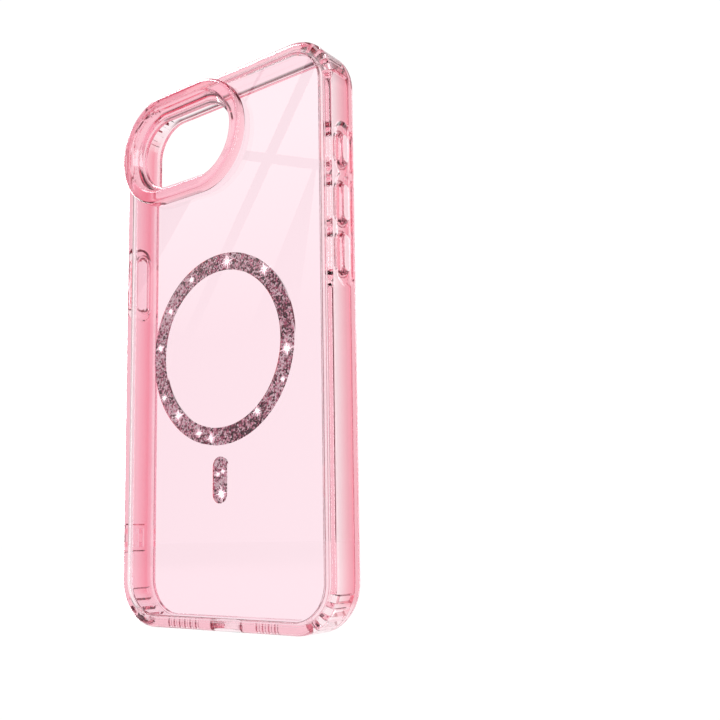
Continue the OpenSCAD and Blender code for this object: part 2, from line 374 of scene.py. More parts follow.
tall, wide = CASE_L - 2 * CORNER_R, 2 * (SIDE_X - CORNER_R)
fine_up = [(a - CORNER_R - 0.6, b - CORNER_R + 0.6) for a, b in SCOOPS[1]]
fine_down = [(CASE_L - CORNER_R - b - 0.6, CASE_L - CORNER_R - a + 0.6) for a, b in
             SCOOPS[-1] + [(LANYARD_Z - LANYARD_L / 2, LANYARD_Z + LANYARD_L / 2)]]
fine_bottom = [(x0 + wide / 2 - 0.4, x0 + wide / 2 + (n - 1) * SOUND_PITCH + 2.9) for x0, n in SOUND_ROWS]
fine_bottom.append((wide / 2 - PORT_W / 2 - 1.6, wide / 2 + PORT_W / 2 + 1.6))
pocket_half = math.degrees(POCKET_W / 2 / (CORNER_R - WALL))
turn_stops = {float(k) for k in range(3, 90, 3)}
for k in range(POCKETS):
    middle = 45 + (k - (POCKETS - 1) / 2) * POCKET_STEP
    for side in (-1, 1):
        for inset in (0.0, 0.45, 0.9):
            turn_stops.add(middle + side * (pocket_half - inset))
turn_stops = sorted(turn_stops)
turn_stops = [a for i, a in enumerate(turn_stops) if i == 0 or a - turn_stops[i - 1] > 0.2]
outline_path = round_path(
    -SIDE_X + CORNER_R, SIDE_X - CORNER_R, CORNER_R, CASE_L - CORNER_R, CORNER_R,
    [spread(tall, fine_up), spread(wide, []), spread(tall, fine_down),
     spread(wide, sorted(fine_bottom)), [a / 90 for a in turn_stops]])
print("columns", len(outline_path))


# %% Build the frame's grid
OUTER_V0, OUTER_V1 = 2.0, 9.9


def frame_point(x, z, nx, nz, u, v):
    """One point of the frame: u in from the outer wall, v back to front, with the rules applied."""
    if u < 0.02 and OUTER_V0 < v < OUTER_V1:
        if abs(nx) > 0.999:
            u += side_push(1 if nx > 0 else -1, z, v)
        elif nz < -0.999:
            u += bottom_push(x, v)
    if abs(u - WALL) < 0.02 and 0.001 < abs(nx) < 0.9999:
        u -= pocket_push(math.degrees(math.atan2(abs(nz), abs(nx))), v)
    return (x - nx * u, Y_BACK + v, z - nz * u)


rows = [[frame_point(*column, p.x, p.y) for p in section] for column in outline_path]
bumper = grid_mesh("bumper_frame_moulded", rows)
print("frame faces", len(bumper.data.polygons))


# %% Cut the windows, the port, the sound holes and the cord holes
def side_cutter(x0, x1, z, w, h):
    """A key-shaped cutter along X, w from back to front and h up, between x0 and x1."""
    outline = stadium(w, h)
    return stack_mesh("cutter", [[(x, Y_BACK + KEY_V + a, z + b) for a, b in outline] for x in (x0, x1)])


def bottom_cutter(x, w, h):
    outline = stadium(w, h)
    return stack_mesh("cutter", [[(x + a, Y_BACK + KEY_V + b, z) for a, b in outline]
                                 for z in (-1.0, WALL + 1.0)])


def box_cutter(x0, x1, y0, y1, z0, z1):
    return stack_mesh("cutter", [[(x, y0, z0), (x, y1, z0), (x, y1, z1), (x, y0, z1)] for x in (x0, x1)])


cutters = []
FLANGE_ROOM = 0.8
for name, (side, body) in KEYS.items():
    z, h = key_span[name]
    inside = side * (SIDE_X - WALL - 1)
    opening = sorted([side * (SIDE_X + 1), inside])
    seat = sorted([inside, side * (SIDE_X - WALL + FLANGE_ROOM)])
    room = 2 * (FLANGE_EDGE + KEY_GAP)
    cutters.append(side_cutter(*opening, z, KEY_W + 2 * KEY_GAP, h + 2 * KEY_GAP))
    cutters.append(side_cutter(*seat, z, KEY_W + room, h + room))
cutters.append(bottom_cutter(0, PORT_W, PORT_H))
for x0, count in SOUND_ROWS:
    for i in range(count):
        cutters.append(bottom_cutter(x0 + SOUND_END / 2 + i * SOUND_PITCH, SOUND_D, SOUND_D))
cord_y0 = Y_BACK + KEY_V - CORD_HOLE_W / 2
cord_y1 = cord_y0 + CORD_HOLE_W
for side in (-1, 1):
    middle = LANYARD_Z + side * CORD_PITCH / 2
    cutters.append(box_cutter(-SIDE_X - 1, -SIDE_X + WALL - CORD_GROOVE / 2, cord_y0, cord_y1,
                              middle - CORD_HOLE_H / 2, middle + CORD_HOLE_H / 2))
groove = (CORD_PITCH + CORD_HOLE_H) / 2 + 0.01
cutters.append(box_cutter(-SIDE_X + WALL - CORD_GROOVE, -SIDE_X + WALL + 1, cord_y0 - 0.01, cord_y1 + 0.01,
                          LANYARD_Z - groove, LANYARD_Z + groove))
for cutter in cutters:
    cut_away(bumper, cutter)
print("frame faces after cutting", len(bumper.data.polygons))
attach(bumper, "case")
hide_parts("bumper_frame")

# %% [markdown]
# ## The hard back plate
#
# The plate is polycarbonate, moulded first and then gripped by the soft frame. A tongue round
# its edge lies in the frame's groove. It is a stack of outlines, each a little further in or
# out, with the camera hole and the inlay grooves cut from it afterwards. A hair's gap to the
# frame is left on purpose: it is what draws the fine bright and dark line round a real plate.

# %% Build the plate as a stack of outlines
SEAM = 0.04


def outline_at(u, v, path):
    return [(x - nx * u, Y_BACK + v, z - nz * u) for x, z, nx, nz in path]


plate_path = round_path(-SIDE_X + CORNER_R, SIDE_X - CORNER_R, CORNER_R, CASE_L - CORNER_R, CORNER_R,
                        [[0, 30, 60, 90], [0, 25], [0, 30, 60, 90], [0, 25]], turn_steps=32)
edge = RIM_W + SEAM
ease = 0.3
levels = [(edge + ease * (1 - math.sin(a)), PLATE_SINK + ease * (1 - math.cos(a)))
          for a in [math.pi / 2 * k / 8 for k in range(9)]]
levels += [(edge, TONGUE_V0 + SEAM), (TONGUE_U + SEAM, TONGUE_V0 + SEAM), (TONGUE_U + SEAM, TONGUE_V1 - SEAM),
           (edge, TONGUE_V1 - SEAM), (edge, PLATE_IN - 0.1), (edge + 0.1, PLATE_IN)]
plate = stack_mesh("back_plate_moulded", [outline_at(u, v, plate_path) for u, v in levels])
print("plate levels", len(levels))


# %% Cut the camera hole and the inlay grooves
def slab_cutter(loop, v0, v1):
    return stack_mesh("cutter", [[(x, Y_BACK + v, z) for x, z in loop] for v in (v0, v1)])


def ring_loop(radius, steps=128):
    return [(radius * math.cos(math.tau * k / steps), RING_Z + radius * math.sin(math.tau * k / steps))
            for k in range(steps)]


def ring_solid(name, inner, outer, v0, v1, steps=128):
    """A flat ring between two radii and two depths, as a grid."""
    corners = [(inner, v0), (outer, v0), (outer, v1), (inner, v1)]
    rows = [[(r * math.cos(a), Y_BACK + v, RING_Z + r * math.sin(a)) for r, v in corners]
            for a in [math.tau * k / steps for k in range(steps)]]
    return grid_mesh(name, rows)


NECK_W = 2.2
FLAKE_ROOM = 0.14
GROOVE_GAP = 0.05
film_v = ring_low.y - Y_BACK
hole = [(GUARD_X + a, GUARD_Z + b) for a, b in stadium(CAM_W + 2 * NECK_W, CAM_H + 2 * NECK_W, 24)]
cut_away(plate, slab_cutter(hole, -1, PLATE_IN + 1))
cut_away(plate, ring_solid("cutter", RING_R - RING_BAND - GROOVE_GAP, RING_R + GROOVE_GAP,
                           film_v - FLAKE_ROOM, PLATE_IN + 1))
bar_w, bar_l = bar_high.x - bar_low.x, bar_high.z - bar_low.z
BAR_Z = (bar_low.z + bar_high.z) / 2
bar_loop = [(a, BAR_Z + b) for a, b in stadium(bar_w + 2 * GROOVE_GAP, bar_l + 2 * GROOVE_GAP)]
cut_away(plate, slab_cutter(bar_loop, film_v - FLAKE_ROOM, PLATE_IN + 1))
# Faces square to Y are shaded flat, or the rounded edges beside them would bend what they mirror.
SQUARE_TO_Y = 0.9999
for face in plate.data.polygons:
    face.use_smooth = abs(face.normal.y) < SQUARE_TO_Y
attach(plate, "case")
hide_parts("back_plate")
print("plate faces", len(plate.data.polygons))

# %% [markdown]
# ## The camera guard
#
# The guard is a collar round the camera opening. Its inner wall leans outwards so that it
# doesn't shade a wide lens, its crest keeps the lens off the table, and its long outer slope
# runs down to the plate. It is one section carried round a bar-shaped path. Its underside has
# to sit on two levels, the plate and the higher soft rim, so a rule sets each underside point
# just above whatever lies below it.


# %% What lies under a point of the guard
def outline_inset(x, z):
    """How far in from the case's outer edge a point lies."""
    dx = SIDE_X - abs(x)
    dz = min(z, CASE_L - z)
    if dx < CORNER_R and dz < CORNER_R:
        return CORNER_R - math.hypot(CORNER_R - dx, CORNER_R - dz)
    return min(dx, dz)


def seat_level(x, z):
    """The depth of the surface that the guard's underside rests on."""
    u = outline_inset(x, z)
    if u < 2.4:
        return 2.4 - math.sqrt(max(2.4 ** 2 - (2.4 - max(u, 0)) ** 2, 0))
    return 0.0 if u < RIM_W - 0.1 else PLATE_SINK


# %% Build the guard
guard_corners = [
    (0, -PLATE_IN, 0.1), (0, -1.25, 0.2), (0.55, -1.0, 0.25), (1.95, 1.6, 0.5), (2.6, GUARD_RISE, 0.7),
    (GUARD_W, GUARD_RISE, 1.1),
    (GUARD_W, -PLATE_SINK, 0.0), (NECK_W - SEAM, -PLATE_SINK, 0.0), (NECK_W - SEAM, -PLATE_IN, 0.1),
]
guard_section = subdivided(filleted(guard_corners, 5), 0.4)
reach = (CAM_W - CAM_H) / 2
guard_path = round_path(GUARD_X - reach, GUARD_X + reach, GUARD_Z, GUARD_Z, CAM_H / 2,
                        [[0], spread(2 * reach, [], coarse=0.8), [0], spread(2 * reach, [], coarse=0.8)],
                        turn_steps=48)


def guard_point(x, z, nx, nz, s, h):
    px, pz = x + nx * s, z + nz * s
    v = -h
    if s > NECK_W - 0.5 and abs(v - PLATE_SINK) < 0.02:
        v = seat_level(px, pz) - 0.03
    return (px, Y_BACK + v, pz)


guard = grid_mesh("camera_guard_moulded",
                  [[guard_point(*column, p.x, p.y) for p in guard_section] for column in guard_path])
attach(guard, "case")
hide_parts("camera_guard")
print("guard faces", len(guard.data.polygons))

# %% [markdown]
# ## The keys
#
# Each key is a plug with a flange inside the wall, which stops it falling out, and a raised pad
# outside for the finger. On its own slide it can go in by a third of a millimetre. A stack of
# bar-shaped outlines gives the pad its sloping shoulder and its eased top edge.

# %% Build each key as a stack of outlines
KEY_LEVELS = [
    (FLANGE_EDGE - 0.08, 0.0), (FLANGE_EDGE, 0.08), (FLANGE_EDGE, 0.27), (FLANGE_EDGE - 0.08, 0.35),
    (0.08, 0.35), (0.0, 0.45), (0.0, 1.55), (-0.06, 1.8), (-0.2, 2.0), (-0.45, 2.2), (-0.62, 2.42),
    (-0.72, 2.58), (-0.88, 2.68), (-1.1, 2.74),
]
for name, (side, body) in KEYS.items():
    z, h = key_span[name]
    low, high = (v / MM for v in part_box(name))
    start = low.x if side > 0 else high.x
    depth = high.x - low.x
    top = KEY_LEVELS[-1][1]
    loops = []
    for grow, t in KEY_LEVELS + [(-1.6, top + 0.02)]:
        x = start + side * t * depth / (top + 0.02)
        loops.append([(x, Y_BACK + KEY_V + a, z + b) for a, b in stadium(KEY_W + 2 * grow, h + 2 * grow, 14)])
    piece = stack_mesh(name + "_moulded", loops)
    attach(piece, body)
    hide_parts(name)
    print(name, "depth", round(depth, 2))

# %% [markdown]
# ## The glitter ring and bar
#
# The ring is polyester film that is printed with glitter and stuck over a ring of magnets. The
# film itself is a flat ring: its speckle is colour, not shape. On top of it lie real loose
# flakes, and they repeat by the thousand, so a Geometry Nodes tree scatters them. Each flake
# leans its own way, and that is what makes glitter sparkle as it turns.

# %% Build the films
FILM_T = ring_high.y - ring_low.y
ring_film = ring_solid("ring_glitter", RING_R - RING_BAND, RING_R, film_v, film_v + FILM_T, 160)
bar_film = stack_mesh("bar_glitter", [[(a, Y_BACK + v, BAR_Z + b) for a, b in stadium(bar_w, bar_l)]
                                      for v in (film_v, film_v + FILM_T)])
for film, node in ((ring_film, "ring_glitter_film"), (bar_film, "bar_glitter_film")):
    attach(film, "case")
    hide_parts(node)
print("film thickness", round(FILM_T, 2), "mm")


# %% Make the flake that repeats
FLAKE_R, FLAKE_T, FLAKE_SIDES = 0.24, 0.02, 6
flake_rim = [(FLAKE_R * math.cos(math.tau * k / FLAKE_SIDES), FLAKE_R * math.sin(math.tau * k / FLAKE_SIDES))
             for k in range(FLAKE_SIDES)]
flake_loops = [[(x, s * FLAKE_T / 2, z) for x, z in flake_rim] for s in (-1, 1)]
flake_shape = stack_mesh("flake_shape", flake_loops, sharp=0.1)
print("flake faces", len(flake_shape.data.polygons))


# %% A tree that scatters flakes over a surface
def add(tree, kind, inputs=None, **settings):
    """Adds a node. settings are its own properties; inputs are values, or sockets to link from."""
    node = tree.nodes.new(kind)
    for key, value in settings.items():
        setattr(node, key, value)
    for key, value in (inputs or {}).items():
        if isinstance(value, bpy.types.NodeSocket):
            tree.links.new(value, node.inputs[key])
        else:
            node.inputs[key].default_value = value
    return node


def scatter_tree(shape, material):
    """Puts copies of shape on a surface, each turned, sized and leaned at random from one seed."""
    tree = bpy.data.node_groups.new("scatter_" + shape.name, "GeometryNodeTree")
    face = tree.interface
    face.new_socket("Geometry", in_out="INPUT", socket_type="NodeSocketGeometry")
    for name in ("Density", "Lean", "Smallest", "Largest"):
        face.new_socket(name, in_out="INPUT", socket_type="NodeSocketFloat")
    face.new_socket("Seed", in_out="INPUT", socket_type="NodeSocketInt")
    face.new_socket("Geometry", in_out="OUTPUT", socket_type="NodeSocketGeometry")
    group_in = add(tree, "NodeGroupInput")
    points = add(tree, "GeometryNodeDistributePointsOnFaces", {
        "Mesh": group_in.outputs["Geometry"], "Density": group_in.outputs["Density"],
        "Seed": group_in.outputs["Seed"]})
    less = add(tree, "ShaderNodeMath", {0: group_in.outputs["Lean"], 1: -1.0}, operation="MULTIPLY")
    lows = add(tree, "ShaderNodeCombineXYZ", {"X": less.outputs[0], "Y": 0.0, "Z": less.outputs[0]})
    highs = add(tree, "ShaderNodeCombineXYZ", {
        "X": group_in.outputs["Lean"], "Y": math.tau, "Z": group_in.outputs["Lean"]})
    turn = add(tree, "FunctionNodeRandomValue", {
        0: lows.outputs[0], 1: highs.outputs[0], "Seed": group_in.outputs["Seed"]},
        data_type="FLOAT_VECTOR")
    size = add(tree, "FunctionNodeRandomValue", {
        2: group_in.outputs["Smallest"], 3: group_in.outputs["Largest"],
        "Seed": group_in.outputs["Seed"]}, data_type="FLOAT")
    shape_in = add(tree, "GeometryNodeObjectInfo", {"Object": shape})
    copies = add(tree, "GeometryNodeInstanceOnPoints", {
        "Points": points.outputs["Points"], "Instance": shape_in.outputs["Geometry"],
        "Rotation": turn.outputs[0], "Scale": size.outputs[1]})
    real = add(tree, "GeometryNodeRealizeInstances", {"Geometry": copies.outputs[0]})
    faced = add(tree, "GeometryNodeSetMaterial", {"Geometry": real.outputs[0], "Material": material})
    add(tree, "NodeGroupOutput", {0: faced.outputs[0]})
    return tree


def scattered(name, surface, tree, values):
    """Runs the tree on a surface and returns what it made as a plain mesh object."""
    host = bpy.data.objects.new(name + "_host", surface.data)
    bpy.context.scene.collection.objects.link(host)
    run = host.modifiers.new("scatter", "NODES")
    run.node_group = tree
    sockets = {s.name: s.identifier for s in tree.interface.items_tree if s.in_out == "INPUT"}
    for key, value in values.items():
        run[sockets[key]] = value
    mesh = bpy.data.meshes.new_from_object(host.evaluated_get(bpy.context.evaluated_depsgraph_get()))
    host.modifiers.clear()
    bpy.data.objects.remove(host)
    made = bpy.data.objects.new(name, mesh)
    bpy.context.scene.collection.objects.link(made)
    return made


# %% [markdown]
# ## Finishes
#
# Clear plastic is coloured by depth: a thin wall is nearly white and a long path through the
# same wall is deep pink. So the tint is a volume that absorbs green and blue, and the surface
# itself stays clear. What keeps a moulding from looking like perfect glass is small: polish
# that varies a little from place to place, and a very shallow unevenness.


# %% Helpers for colours and materials
def srgb(code):
    """Turns a colour such as '#f2a0b0' into the linear values that shaders use."""
    parts = [int(code[i:i + 2], 16) / 255 for i in (1, 3, 5)]
    return tuple(p / 12.92 if p <= 0.04045 else ((p + 0.055) / 1.055) ** 2.4 for p in parts) + (1.0,)


def new_material(name):
    material = bpy.data.materials.new(name)
    material.use_nodes = True
    material.node_tree.nodes.clear()
    return material, material.node_tree


def ramp(tree, factor, stops):
    """A colour ramp with its stops given as (place, colour)."""
    node = add(tree, "ShaderNodeValToRGB", {"Fac": factor})
    while len(node.color_ramp.elements) < len(stops):
        node.color_ramp.elements.new(0.5)
    for element, (place, colour) in zip(node.color_ramp.elements, stops):
        element.position = place
        element.color = colour
    return node.outputs["Color"]


def per_mm(size):
    """The texture scale that gives a pattern of this size in millimetres."""
    return 1 / (size * MM)


# %% The clear plastics
def clear_plastic(name, ior, absorbs, surface, polish, uneven_mm):
    """A clear moulding. absorbs is how much red, green and blue a metre of it takes out.

    surface is one colour, or (depth from the back rim in mm, colour) stops for a tint that drifts."""
    material, tree = new_material(name)
    place = add(tree, "ShaderNodeTexCoord").outputs["Object"]
    haze = add(tree, "ShaderNodeTexNoise", {"Vector": place, "Scale": per_mm(9), "Detail": 3.0})
    rough = add(tree, "ShaderNodeMapRange", {
        "Value": haze.outputs["Fac"], "To Min": polish[0], "To Max": polish[1]})
    ripple = add(tree, "ShaderNodeTexNoise", {"Vector": place, "Scale": per_mm(uneven_mm), "Detail": 1.0})
    bump = add(tree, "ShaderNodeBump", {
        "Height": ripple.outputs["Fac"], "Strength": 0.04, "Distance": 0.02 * MM})
    if isinstance(surface, str):
        tint = srgb(surface)
    else:
        spot = add(tree, "ShaderNodeSeparateXYZ", {"Vector": place})
        depth_in = add(tree, "ShaderNodeMapRange", {
            "Value": spot.outputs["Y"], "From Min": Y_BACK * MM, "From Max": (Y_BACK + CASE_D) * MM})
        drift = add(tree, "ShaderNodeMath", {0: haze.outputs["Fac"], 1: 0.06, 2: depth_in.outputs[0]},
                    operation="MULTIPLY_ADD")
        deep = ramp(tree, drift.outputs[0], [(v / CASE_D + 0.03, srgb(c)) for v, c in surface])
        # Near the case's top and bottom ends the tint is painted pale: a painted highlight, in place of the
        # white that the top and bottom walls reflect.
        rise = add(tree, "ShaderNodeMapRange", {"Value": spot.outputs["Z"], "From Max": CASE_L * MM})
        ends = ramp(tree, rise.outputs[0], [
            (0.02, (1, 1, 1, 1)), (0.06, (0, 0, 0, 1)), (0.93, (0, 0, 0, 1)), (0.975, (1, 1, 1, 1))])
        mixed = add(tree, "ShaderNodeMix", {"Factor": ends, 6: deep, 7: srgb(surface[0][1])},
                    data_type="RGBA")
        tint = mixed.outputs[2]
    shader = add(tree, "ShaderNodeBsdfPrincipled", {
        "Base Color": tint, "Roughness": rough.outputs[0], "Normal": bump.outputs[0],
        "IOR": ior, "Transmission Weight": 1.0})
    density = max(absorbs)
    kept = tuple(1 - a / density for a in absorbs) + (1.0,)
    body = add(tree, "ShaderNodeVolumeAbsorption", {"Color": kept, "Density": density})
    add(tree, "ShaderNodeOutputMaterial", {"Surface": shader.outputs[0], "Volume": body.outputs[0]})
    return material


shell = clear_plastic("clear_polycarbonate_pale_pink", 1.58, (0, 100, 68), "#fffdfe", (0.0, 0.012), 60)
soft = clear_plastic("clear_tpu_pink", 1.5, (4, 44, 35), [
    (0, "#fffbfc"), (2.6, "#fff3f5"), (5.0, "#fdd3da"), (9.2, "#f79dad"), (10.3, "#fff4f6")], (0.01, 0.04), 6)
soft_deep = clear_plastic("clear_tpu_guard_pink", 1.5, (6, 88, 70), "#fff1f4", (0.01, 0.04), 6)
soft_key = clear_plastic("clear_tpu_key_pink", 1.5, (6, 60, 48), "#fff3f5", (0.01, 0.04), 6)
print("clear plastics", [m.name for m in (shell, soft, soft_deep, soft_key)])


# %% The glitter film
def glitter_print(name, cell_mm, stops, lean):
    """Film printed with glitter. Each cell has one colour and its own lean to the light."""
    material, tree = new_material(name)
    place = add(tree, "ShaderNodeTexCoord").outputs["Object"]
    cells = add(tree, "ShaderNodeTexVoronoi", {"Vector": place, "Scale": per_mm(cell_mm)})
    drift = add(tree, "ShaderNodeTexNoise", {"Vector": place, "Scale": per_mm(7), "Detail": 2.0})
    one = add(tree, "ShaderNodeSeparateColor", {"Color": cells.outputs["Color"]})
    moved = add(tree, "ShaderNodeMath", {0: drift.outputs["Fac"], 1: 0.5}, operation="SUBTRACT")
    pick = add(tree, "ShaderNodeMath", {0: moved.outputs[0], 1: 1.3, 2: one.outputs["Red"]},
               operation="MULTIPLY_ADD")
    colour = ramp(tree, pick.outputs[0], [(p, srgb(c)) for p, c in stops])
    centred = add(tree, "ShaderNodeVectorMath", {0: cells.outputs["Color"], 1: (0.5, 0.5, 0.5)},
                  operation="SUBTRACT")
    leaned = add(tree, "ShaderNodeVectorMath", {0: centred.outputs[0], 1: (lean, lean, lean)},
                 operation="MULTIPLY")
    normal = add(tree, "ShaderNodeNewGeometry").outputs["Normal"]
    summed = add(tree, "ShaderNodeVectorMath", {0: normal, 1: leaned.outputs[0]}, operation="ADD")
    unit = add(tree, "ShaderNodeVectorMath", {0: summed.outputs[0]}, operation="NORMALIZE")
    shader = add(tree, "ShaderNodeBsdfPrincipled", {
        "Base Color": colour, "Normal": unit.outputs[0], "Roughness": 0.36, "Specular IOR Level": 0.05})
    add(tree, "ShaderNodeOutputMaterial", {"Surface": shader.outputs[0]})
    return material


rose_glitter = glitter_print("rose_glitter_print", 0.5, [
    (0.18, "#22010c"), (0.36, "#862343"), (0.5, "#d67a9a"), (0.6, "#ffd2e0"), (0.7, "#fff6f9")], 0.6)


# %% The loose flakes, the backing film and the magnets
def foil(name, dark, light, cell_mm, metal, rough):
    """Thin bright foil whose colour changes from flake to flake."""
    material, tree = new_material(name)
    place = add(tree, "ShaderNodeTexCoord").outputs["Object"]
    cells = add(tree, "ShaderNodeTexVoronoi", {"Vector": place, "Scale": per_mm(cell_mm)})
    colour = ramp(tree, cells.outputs["Distance"], [(0.1, srgb(light)), (0.9, srgb(dark))])
    shader = add(tree, "ShaderNodeBsdfPrincipled", {
        "Base Color": colour, "Metallic": metal, "Roughness": rough})
    add(tree, "ShaderNodeOutputMaterial", {"Surface": shader.outputs[0]})
    return material


rose_foil = foil("rose_foil_flakes", "#a0506c", "#ffd5e2", 0.9, 0.3, 0.3)


def painted_glint(name, colour, strength):
    """A painted glint: a sheet that glows by its own emission, standing in for the flare of a flake that
    faces the light. It fades out from its middle.
    """
    material, tree = new_material(name)
    glow = add(tree, "ShaderNodeAttribute", attribute_name="glow").outputs["Fac"]
    seen_through = add(tree, "ShaderNodeMath", {0: glow, 1: 1.15}, operation="POWER")
    shader = add(tree, "ShaderNodeBsdfPrincipled", {
        "Base Color": srgb(colour), "Roughness": 0.3, "Alpha": seen_through.outputs[0],
        "Emission Color": srgb(colour), "Emission Strength": strength})
    add(tree, "ShaderNodeOutputMaterial", {"Surface": shader.outputs[0]})
    return material


# Painted glint: the star sheets glow by emission in place of light caught by the glitter.
painted_star_glint = painted_glint("star_painted_glint", "#fff8fa", 1.3)


def satin(name, colours, pattern_mm, metal, rough, bump_mm):
    """A satin surface with a fine grain. colours are its darker and its lighter tone."""
    material, tree = new_material(name)
    place = add(tree, "ShaderNodeTexCoord").outputs["Object"]
    grain = add(tree, "ShaderNodeTexNoise", {"Vector": place, "Scale": per_mm(pattern_mm), "Detail": 4.0})
    colour = ramp(tree, grain.outputs["Fac"], [(0.35, srgb(colours[0])), (0.65, srgb(colours[1]))])
    bump = add(tree, "ShaderNodeBump", {
        "Height": grain.outputs["Fac"], "Strength": 0.3, "Distance": bump_mm * MM})
    rough_node = add(tree, "ShaderNodeMapRange", {
        "Value": grain.outputs["Fac"], "To Min": rough - 0.06, "To Max": rough + 0.06})
    shader = add(tree, "ShaderNodeBsdfPrincipled", {
        "Base Color": colour, "Roughness": rough_node.outputs[0], "Normal": bump.outputs[0],
        "Metallic": metal})
    add(tree, "ShaderNodeOutputMaterial", {"Surface": shader.outputs[0]})
    return material


matt_film = satin("matt_pink_film", ("#d998aa", "#e6aebd"), 0.5, 0.0, 0.6, 0.01)
nickel = satin("nickel_plating", ("#b9babd", "#d3d4d7"), 0.8, 1.0, 0.28, 0.004)
print("materials", len(bpy.data.materials))

# %% Scatter the flakes
FLAKES = {"Density": 1.3e6, "Lean": 0.28, "Smallest": 0.6, "Largest": 1.25, "Seed": 7}
flake_tree = scatter_tree(flake_shape, rose_foil)


def front_sheet(name, points, v):
    """A flat sheet facing the back of the case, used only to scatter on."""
    mesh = bpy.data.meshes.new(name)
    verts = [(x * MM, (Y_BACK + v) * MM, z * MM) for x, z in points[0] + points[1]]
    n = len(points[0])
    faces = [(k, (k + 1) % n, n + (k + 1) % n, n + k) for k in range(n)]
    mesh.from_pydata(verts, [], faces)
    obj = bpy.data.objects.new(name, mesh)
    bpy.context.scene.collection.objects.link(obj)
    return obj


flake_v = film_v - FLAKE_ROOM / 2
EDGE_GAP = 0.25
ring_edges = (ring_loop(RING_R - EDGE_GAP), ring_loop(RING_R - RING_BAND + EDGE_GAP))
ring_sheet = front_sheet("ring_sheet", ring_edges, flake_v)
bar_edge = stadium(bar_w - 2 * EDGE_GAP, bar_l - 2 * EDGE_GAP)
bar_outer = [(a, BAR_Z + b) for a, b in bar_edge]
bar_inner = [(a * 0.05, BAR_Z + b * 0.6) for a, b in bar_edge]
bar_sheet = front_sheet("bar_sheet", (bar_outer, bar_inner), flake_v)
ring_flakes = scattered("ring_flakes", ring_sheet, flake_tree, FLAKES)
bar_flakes = scattered("bar_flakes", bar_sheet, flake_tree, dict(FLAKES, Seed=11))
for sheet in (ring_sheet, bar_sheet):
    bpy.data.objects.remove(sheet)
for made, node in ((ring_flakes, "ring_glitter_film"), (bar_flakes, "bar_glitter_film")):
    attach(made, "case")
    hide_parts(node)
print("flakes", len(ring_flakes.data.polygons) // 8, "+", len(bar_flakes.data.polygons) // 8)

# %% [markdown]
# A few flakes on the real ring face the light squarely and flare into a small star. Here each
# flare is a painted glint: a thin star-shaped sheet, larger than the flakes and nearly white,
# that glows by its own emission. Their places are chosen, not random, because there are only a
# dozen and they decide where the ring draws the eye.

# %% Lay the painted star glints
STARS = [(84, 0.5, 1.0), (118, 0.5, 0.55), (146, 0.5, 0.6), (50, 0.3, 0.95), (172, 0.45, 0.7),
         (352, 0.5, 0.95), (207, 0.3, 0.75), (226, 0.6, 0.9), (250, 0.5, 0.6), (262, 0.4, 0.75),
         (306, 0.75, 0.8), (334, 0.3, 0.5)]
# The star fans and their fainter halo are painted light: they glow by emission, not from any lamp.
STAR_FANS = [(3.8, 0.28, 4, 8), (1.9, 0.3, 4, 53), (2.0, 2.0, 8, 0)]
STAR_T, STAR_STEP, HALO_GLOW = 0.012, 0.02, 0.3
star_spots = [((RING_R - RING_BAND * d) * math.cos(math.radians(a)),
               RING_Z + (RING_R - RING_BAND * d) * math.sin(math.radians(a)), s) for a, d, s in STARS]
star_spots += [(0.5, BAR_Z - 3.6, 0.9), (-0.9, BAR_Z + 1.6, 0.45), (1.0, BAR_Z + 2.2, 0.4)]


def stars(name, spots):
    """Each painted glint is three thin closed fans that glow: long points, short points and a round halo."""
    bm = bmesh.new()
    glow = bm.verts.layers.float.new("glow")
    for x, z, size in spots:
        for layer, (reach, waist, points, turned) in enumerate(STAR_FANS):
            rim = [((waist if k % 2 else reach) * size, math.radians(turned) + math.pi * k / points)
                   for k in range(2 * points)]
            sides = []
            for lift in (0.0, STAR_T):
                y = Y_BACK + film_v - FLAKE_ROOM / 2 - STAR_STEP * layer - lift
                ring = [bm.verts.new(Vector((x + r * math.cos(a), y, z + r * math.sin(a))) * MM)
                        for r, a in rim]
                middle = bm.verts.new(Vector((x, y, z)) * MM)
                middle[glow] = HALO_GLOW if waist == reach else 1.0
                sides.append((ring, middle))
            (low, low_middle), (high, high_middle) = sides
            for k in range(2 * points):
                m = (k + 1) % (2 * points)
                bm.faces.new((low[k], low[m], low_middle))
                bm.faces.new((high[m], high[k], high_middle))
                bm.faces.new((low[m], low[k], high[k], high[m]))
    bmesh.ops.recalc_face_normals(bm, faces=bm.faces)
    mesh = bpy.data.meshes.new(name)
    bm.to_mesh(mesh)
    bm.free()
    obj = bpy.data.objects.new(name, mesh)
    bpy.context.scene.collection.objects.link(obj)
    obj.data.materials.append(painted_star_glint)
    return obj


above_bar = bar_high.z + 1
ring_stars = stars("ring_stars", [spot for spot in star_spots if spot[1] > above_bar])
bar_stars = stars("bar_stars", [spot for spot in star_spots if spot[1] <= above_bar])
for made, node in ((ring_stars, "ring_glitter_film"), (bar_stars, "bar_glitter_film")):
    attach(made, "case")
    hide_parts(node)
bpy.data.objects.remove(flake_shape)

# %% Put the finishes on the pieces
bumper.data.materials.clear()
for piece, material in ((bumper, soft), (guard, soft_deep), (plate, shell), (ring_film, rose_glitter),
                        (bar_film, rose_glitter)):
    piece.data.materials.clear()
    piece.data.materials.append(material)
for name in KEYS:
    bpy.data.objects[name + "_moulded"].data.materials.append(soft_key)
for name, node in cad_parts.items():
    if "magnet" in name or "backing" in name:
        node.data.materials.clear()
        node.data.materials.append(nickel if "magnet" in name else matt_film)

# %% [markdown]
# ## The studio
#
# Clear plastic shows whatever surrounds it. The room is white behind the case and in front, so
# that what is seen through the plastic stays clean. Rose cards at the sides and a dark ceiling
# draw the lines along the edges. Rays that have truly been mirrored meet one thing more: a dim
# rose card in front, which keeps the plate from shining white. A window with bars is mirrored too.

